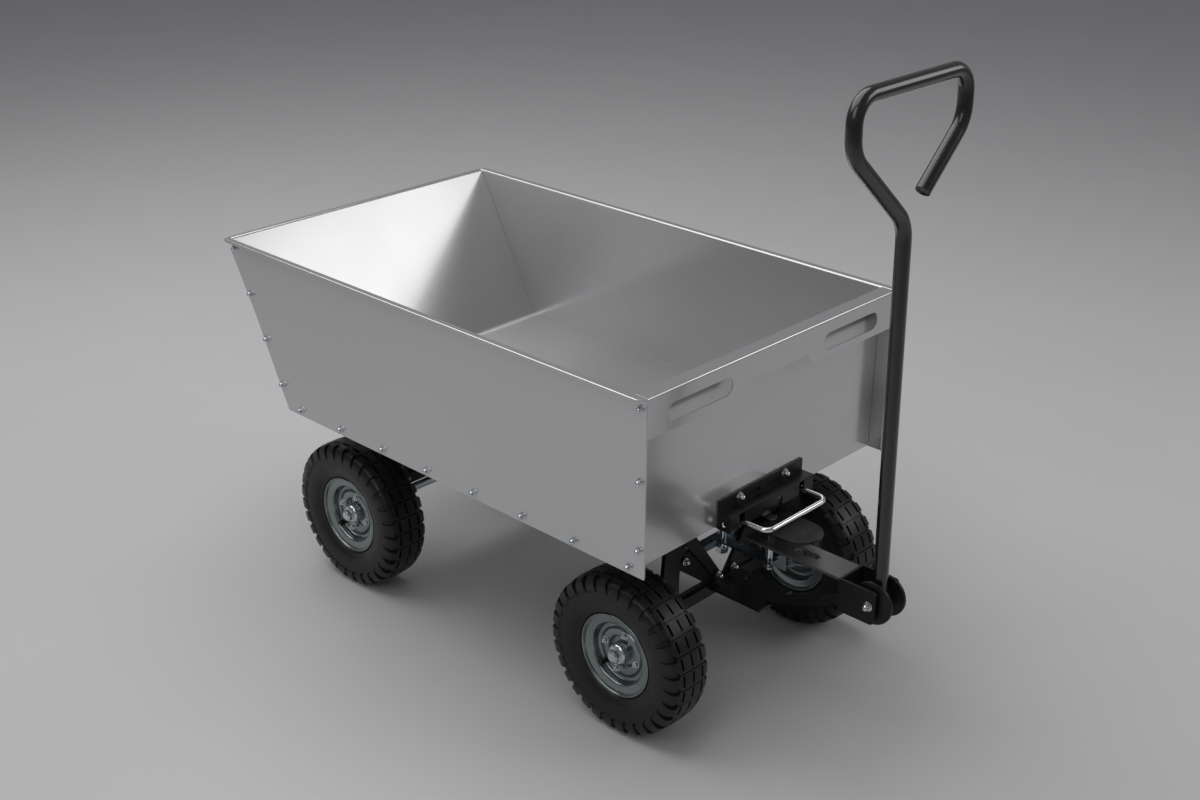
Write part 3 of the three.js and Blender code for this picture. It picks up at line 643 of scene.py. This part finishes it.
def rim_half(name, centre, side, which):
    """One pressed half of a rim, from the hub out to the rolled edge and back through the well."""
    face = rim_face()
    back = []
    for i in range(RIM_BACK_ROWS):
        a, b = Vector(face[max(0, i - 1)]), Vector(face[i + 1])
        along = (b - a).normalized()
        back.append((max(0.0004, face[i][0] - along.y * RIM_METAL), face[i][1] + along.x * RIM_METAL))
    bm = bmesh.new()
    turn(bm, face + RIM_WELL + back[::-1], centre, (side, 0, 0), 96, closed=True)
    piece(f"{name}_rim_{which}", bm, f"wheel_{name}", RIM_ZINC, [f"rim_{which}_{name}"], sharp=40)


def hub(name, centre, outside):
    """The hub sleeve, whose longer end is on the cart's side."""
    lo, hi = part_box(f"hub_{name}")
    inner = max(hi.x - centre.x, centre.x - lo.x)
    outer = min(hi.x - centre.x, centre.x - lo.x)
    bore = 0.0085
    profile = [(-inner, bore), (-inner, 0.0118), (-inner + 0.0012, 0.0130), (-0.0300, 0.0166),
               (0.0170, 0.0172), (outer - 0.0045, 0.0168), (outer - 0.0025, 0.0158),
               (outer - 0.0008, 0.0142), (outer, 0.0125), (outer, bore)]
    bm = bmesh.new()
    turn(bm, profile, centre, (outside, 0, 0), 48, closed=True)
    piece(f"{name}_hub", bm, f"wheel_{name}", ZINC, [f"hub_{name}"], sharp=30)


def on_wheel(centre, out, radius, degrees):
    """A point on a wheel, at an angle round its axle."""
    a = math.radians(degrees)
    return centre + Vector((out, radius * math.cos(a), radius * math.sin(a)))


def rim_bolts(name, centre):
    """Four bolts round the hub on each side, which hold the two rim halves together."""
    bm = bmesh.new()
    for side in (-1, 1):
        for k in range(4):
            spot = on_wheel(centre, side * 0.0163, 0.0322, 14 + 90 * k + (3 if side > 0 else 0))
            hex_bolt(bm, spot, (side, 0, 0), 0.0052, 0.0035)
    piece(f"{name}_rim_bolts", bm, f"wheel_{name}", ZINC)


def valve(name, centre, outside):
    """The rubber valve stem with its cap, which leans towards the axle."""
    angle = -42
    lean = on_wheel(Vector((0, 0, 0)), outside, -0.25, angle)
    profile = [(0, 0), (0, 0.0048), (0.003, 0.0046), (0.005, 0.0034), (0.013, 0.0030), (0.0135, 0.0036),
               (0.0185, 0.0036), (0.0195, 0.0028), (0.0195, 0)]
    bm = bmesh.new()
    turn(bm, profile, on_wheel(centre, outside * 0.0105, 0.0455, angle), lean, 20)
    piece(f"{name}_valve", bm, f"wheel_{name}", RUBBER)


def wheel(name):
    """A whole wheel, round the middle of its CAD tyre."""
    centre = middle(f"tyre_{name}")
    outside = -1 if name.endswith("left") else 1
    tyre(name, centre)
    rim_half(name, centre, outside, "outer")
    rim_half(name, centre, -outside, "inner")
    hub(name, centre, outside)
    rim_bolts(name, centre)
    valve(name, centre, outside)


# ---- latch and handle ------------------------------------------------------------------
ROD_R = 0.011
HANDLE_LEAN = math.radians(1.2)
LOOP_BASE, LOOP_WIDE = 0.812, 0.926       # heights where the loop leaves the rod and where it is full wide
LOOP_RADII = [0, 0.055, 0.050, 0.034, 0.034, 0.050, 0]


def latch():
    """The wire bail in front of the latch bracket, and the two cap nuts above it."""
    lo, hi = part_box("latch_bail")
    wire = (hi.z - lo.z) / 2
    z, y = (lo.z + hi.z) / 2, hi.y - wire
    front, arm, corner = lo.y + wire, 0.072, 0.015
    loop = [(-arm, y, z), (-arm, front, z), (arm, front, z), (arm, y, z)]
    bm = bmesh.new()
    tube(bm, filleted(loop, [0, corner, corner, 0], 8), wire)
    tube(bm, [(lo.x, y, z), (-arm, y, z), (arm, y, z), (hi.x, y, z)], wire)
    piece("bail_wire", bm, "bail", CHROME, ["latch_bail"])
    for word in ("left", "right"):
        lo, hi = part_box(f"latch_bolt_{word}")
        bm = bmesh.new()
        cap_nut(bm, ((lo.x + hi.x) / 2, hi.y, (lo.z + hi.z) / 2), (0, -1, 0), 0.0066)
        piece(f"latch_cap_nut_{word}", bm, "tub", ZINC, [f"latch_bolt_{word}"])


def handle_bar(pivot):
    """The rod and its open loop, bent from one bar, and the eye round the fork's bolt."""
    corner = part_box("handle_rod")[1]
    half = corner.x - ROD_R
    top = (corner.z - ROD_R - pivot.z) / math.cos(HANDLE_LEAN)
    base, wide = LOOP_BASE - pivot.z, LOOP_WIDE - pivot.z
    end = (half * 0.3, 0, wide - (wide - base) * 0.7)
    corners = [(0, 0, 0), (0, 0, base), (-half, 0, wide), (-half, 0, top), (half, 0, top), (half, 0, wide),
               end]
    lean = Matrix.Rotation(-HANDLE_LEAN, 3, "X")
    eye, eye_r, edge = 0.0138, 0.0150, 0.0010
    bm = bmesh.new()
    tube(bm, [lean @ p + pivot for p in filleted(corners, LOOP_RADII, 12)], ROD_R, 28, 0.18)
    profile = [(-eye, 0), (-eye, eye_r - edge), (-eye + edge, eye_r), (eye - edge, eye_r),
               (eye, eye_r - edge), (eye, 0)]
    turn(bm, profile, pivot, (1, 0, 0), 40)
    piece("handle_bar", bm, "handle", ROD_BLACK, ["handle_rod"], sharp=40)


def foot_disc(word):
    """One of the two round plates beside the handle's eye."""
    node = f"handle_disc_{word}"
    lo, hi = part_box(node)
    radius, half = (hi.z - lo.z) / 2, (hi.x - lo.x) / 2
    bore, edge = 0.0056, 0.0009
    rim = [(half, radius - edge), (half - edge * 0.3, radius - edge * 0.3), (half - edge, radius)]
    profile = [(-half, bore), *[(-along, r) for along, r in rim], *reversed(rim), (half, bore)]
    bm = bmesh.new()
    turn(bm, profile, middle(node), (1, 0, 0), 72, closed=True)
    piece(f"foot_disc_{word}", bm, "handle", BLACK, [node], sharp=40)


def handle():
    """The handle on its pivot in the fork."""
    joints = {joint["name"]: joint for joint in frame["joints"]}
    pivot = Vector(joints["handle_fold"]["pos_m"])
    handle_bar(pivot)
    for word in ("left", "right"):
        foot_disc(word)
    face, shank = 0.0296, 0.0049
    bm = bmesh.new()
    cap_nut(bm, (-face, pivot.y, pivot.z), (-1, 0, 0), 0.0070)
    hex_bolt(bm, (face, pivot.y, pivot.z), (1, 0, 0), 0.0074)
    turn(bm, [(-face, 0), (-face, shank), (face, shank), (face, 0)], (0, pivot.y, pivot.z), (1, 0, 0), 24)
    piece("fork_pivot_bolt", bm, "truck", ZINC, ["fork_bolt"])


# ---- axles and running gear --------------------------------------------------------------
AXLE_R = 0.008
BLACK_NODES = [
    "tub_hinge_angle_left", "tub_hinge_angle_right", "latch_bracket", "frame_rail_left", "frame_rail_right",
    "frame_cross_front", "frame_cross_middle", "frame_cross_rear", "latch_keeper", "turntable_disc",
    "rear_beam", "rear_truss_left", "rear_truss_right", "rear_axle_clamp_left", "rear_axle_clamp_right",
    "front_beam", "front_truss_plate_left", "front_truss_plate_right", "front_truss_strap_left",
    "front_truss_strap_right", "turntable_plate", "lower_plate", "drawbar_brace", "drawbar_fork",
]


def axle_end(bm, centre, side, start):
    """An axle out through a wheel, with its washer and nut. Start is a distance from the cart's middle."""
    lo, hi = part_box("hub_front_left" if side < 0 else "hub_front_right")
    face = max(abs(lo.x), abs(hi.x))
    tip = face + 0.0093
    origin, axis = Vector((0, centre.y, centre.z)), Vector((side, 0, 0))
    profile = [(start, 0), (start, AXLE_R), (tip - 0.0008, AXLE_R), (tip, AXLE_R - 0.001), (tip, 0)]
    turn(bm, profile, origin, axis, 32)
    washer(bm, origin + axis * (face + 0.0004), axis, 0.0122, 0.0012)
    hexagon(bm, origin + axis * (face + 0.0016), axis, 0.0108, 0.0062)


def stub_axle(word, side):
    """A front stub axle, and the block on its inner end."""
    node = f"front_stub_axle_{word}"
    lo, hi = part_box(node)
    inner = min(abs(lo.x), abs(hi.x))
    bm = bmesh.new()
    axle_end(bm, middle(f"tyre_front_{word}"), side, inner + 0.002)
    piece(f"stub_axle_{word}", bm, "truck", ZINC, [node], sharp=30)
    thick = 0.0056
    bm = bmesh.new()
    bmesh.ops.create_cube(bm, size=1.0)
    for vert in bm.verts:
        vert.co = Vector((side * (inner + thick / 2) + vert.co.x * thick,
                          (lo.y + hi.y) / 2 + vert.co.y * (hi.y - lo.y),
                          (lo.z + hi.z) / 2 + vert.co.z * (hi.z - lo.z)))
    round_edges(piece(f"stub_block_{word}", bm, "truck", ZINC), 0.0008)


def rear_axle():
    """The rear axle, one bar from nut to nut."""
    centre = middle("tyre_rear_left")
    bm = bmesh.new()
    for side in (-1, 1):
        axle_end(bm, centre, side, 0.0)
    bmesh.ops.remove_doubles(bm, verts=bm.verts, dist=0.000001)
    piece("rear_axle_bar", bm, "frame", ZINC, ["rear_axle"], sharp=30)


def truss_nuts(end, body, plate):
    """Zinc cap nuts on the faces of an axle's truss plates, and below them on the front straps."""
    proud = 0.0002
    bm = bmesh.new()
    for word, side in SIDES:
        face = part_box(f"{end}_{plate}_{word}")[0].y - proud
        cap_nut(bm, (side * 0.095, face, 0.231), (0, -1, 0), 0.0056)
        if end == "front":
            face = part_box(f"front_truss_strap_{word}")[0].y - proud
            cap_nut(bm, (side * 0.019, face, 0.177), (0, -1, 0), 0.0062)
    piece(f"{end}_truss_nuts", bm, body, ZINC)


def running_gear():
    """The carried-over nodes, and the nuts that lie on them."""
    for node in ("kingpin", "tub_pivot_rod", "steering_bolt"):
        dress(node, ZINC, 0.0004)
    dress("latch_pawl", BLACK, 0.0004)
    truss_nuts("rear", "frame", "truss")
    truss_nuts("front", "truck", "truss_plate")
    dress("steering_tee", STEEL_BLUE, 0.0005)
    dress("drawbar_tongue", LIGHT_GREY, 0.0007)
    for node in BLACK_NODES:
        dress(node, BLACK)


# ---- floor, light and camera -----------------------------------------------------------
FLOOR_HALF = 14.0
AIM = Vector((0.0, 0.1, 0.42))            # what the lights point at
# name, direction from the aim, distance, size, and power in watts
SOFTBOXES = [
    ("key_softbox", (0.57, -0.68, 0.46), 3.4, (2.0, 1.3), 17.0),
    ("top_softbox", (-0.1, 0.35, 1.0), 2.8, (3.6, 3.6), 78.0),
    ("left_softbox", (-0.9, -0.35, 0.75), 3.4, (1.6, 1.6), 12.0),
]
CAMERA_AT = Vector((-1.7450, -1.6602, 1.4736))
CAMERA_YAW = math.radians(-46.472)
CAMERA_PITCH = math.radians(24.343)       # how far it looks down
CAMERA_ROLL = math.radians(0.297)


def studio_floor():
    """A plain pale floor at ground level."""
    mat = surface("studio_floor", (0.56, 0.56, 0.565), roughness=0.6, spread=0.05, mottle=0.01,
                  mottle_scale=3, specular=0.25)
    bm = bmesh.new()
    corners = [(-FLOOR_HALF, -FLOOR_HALF), (FLOOR_HALF, -FLOOR_HALF), (FLOOR_HALF, FLOOR_HALF),
               (-FLOOR_HALF, FLOOR_HALF)]
    bm.faces.new([bm.verts.new((x, y, 0)) for x, y in corners])
    mesh = bpy.data.meshes.new("studio_floor")
    bm.to_mesh(mesh)
    bm.free()
    mesh.materials.append(mat)
    floor = bpy.data.objects.new("studio_floor", mesh)
    scene.collection.objects.link(floor)


def studio_light():
    """A dim even surround and three softboxes, which the camera doesn't see."""
    world = bpy.data.worlds.new("studio")
    world.use_nodes = True
    world.node_tree.nodes["Background"].inputs["Color"].default_value = (0.62, 0.63, 0.65, 1)
    world.node_tree.nodes["Background"].inputs["Strength"].default_value = 0.28
    scene.world = world
    for name, direction, distance, size, power in SOFTBOXES:
        data = bpy.data.lights.new(name, "AREA")
        data.shape = "RECTANGLE"
        data.size, data.size_y = size
        data.energy = power
        obj = bpy.data.objects.new(name, data)
        obj.location = AIM + Vector(direction).normalized() * distance
        obj.rotation_mode = "QUATERNION"
        obj.rotation_quaternion = Vector(direction).to_track_quat("Z", "Y")
        obj.visible_camera = False
        scene.collection.objects.link(obj)


def camera():
    """A camera at the photograph's viewing angle."""
    data = bpy.data.cameras.new("camera")
    data.lens, data.sensor_width = 48.71, 36.0
    data.clip_start, data.clip_end = 0.05, 60
    obj = bpy.data.objects.new("camera", data)
    level = math.cos(CAMERA_PITCH)
    back = Vector((math.sin(CAMERA_YAW) * level, -math.cos(CAMERA_YAW) * level, math.sin(CAMERA_PITCH)))
    right = Vector((math.cos(CAMERA_YAW), math.sin(CAMERA_YAW), 0))
    up = back.cross(right)
    rolled = right * math.cos(CAMERA_ROLL) + up * math.sin(CAMERA_ROLL)
    upright = up * math.cos(CAMERA_ROLL) - right * math.sin(CAMERA_ROLL)
    turned = Matrix((rolled, upright, back)).transposed()
    obj.matrix_world = Matrix.Translation(CAMERA_AT) @ turned.to_4x4()
    scene.collection.objects.link(obj)
    scene.camera = obj


# ---- build -----------------------------------------------------------------------------
for side_word, side_sign in SIDES:
    side_plate(side_word, side_sign)
for side_word, side_sign in SIDES:
    side_bolts(side_word, side_sign)
floor_sheet()
front_panel()
floor_bolts()
for wheel_name in TREAD_TURN:
    wheel(wheel_name)
latch()
handle()
for side_word, side_sign in SIDES:
    stub_axle(side_word, side_sign)
rear_axle()
running_gear()
studio_floor()
studio_light()
camera()
scene.view_settings.view_transform = "Standard"
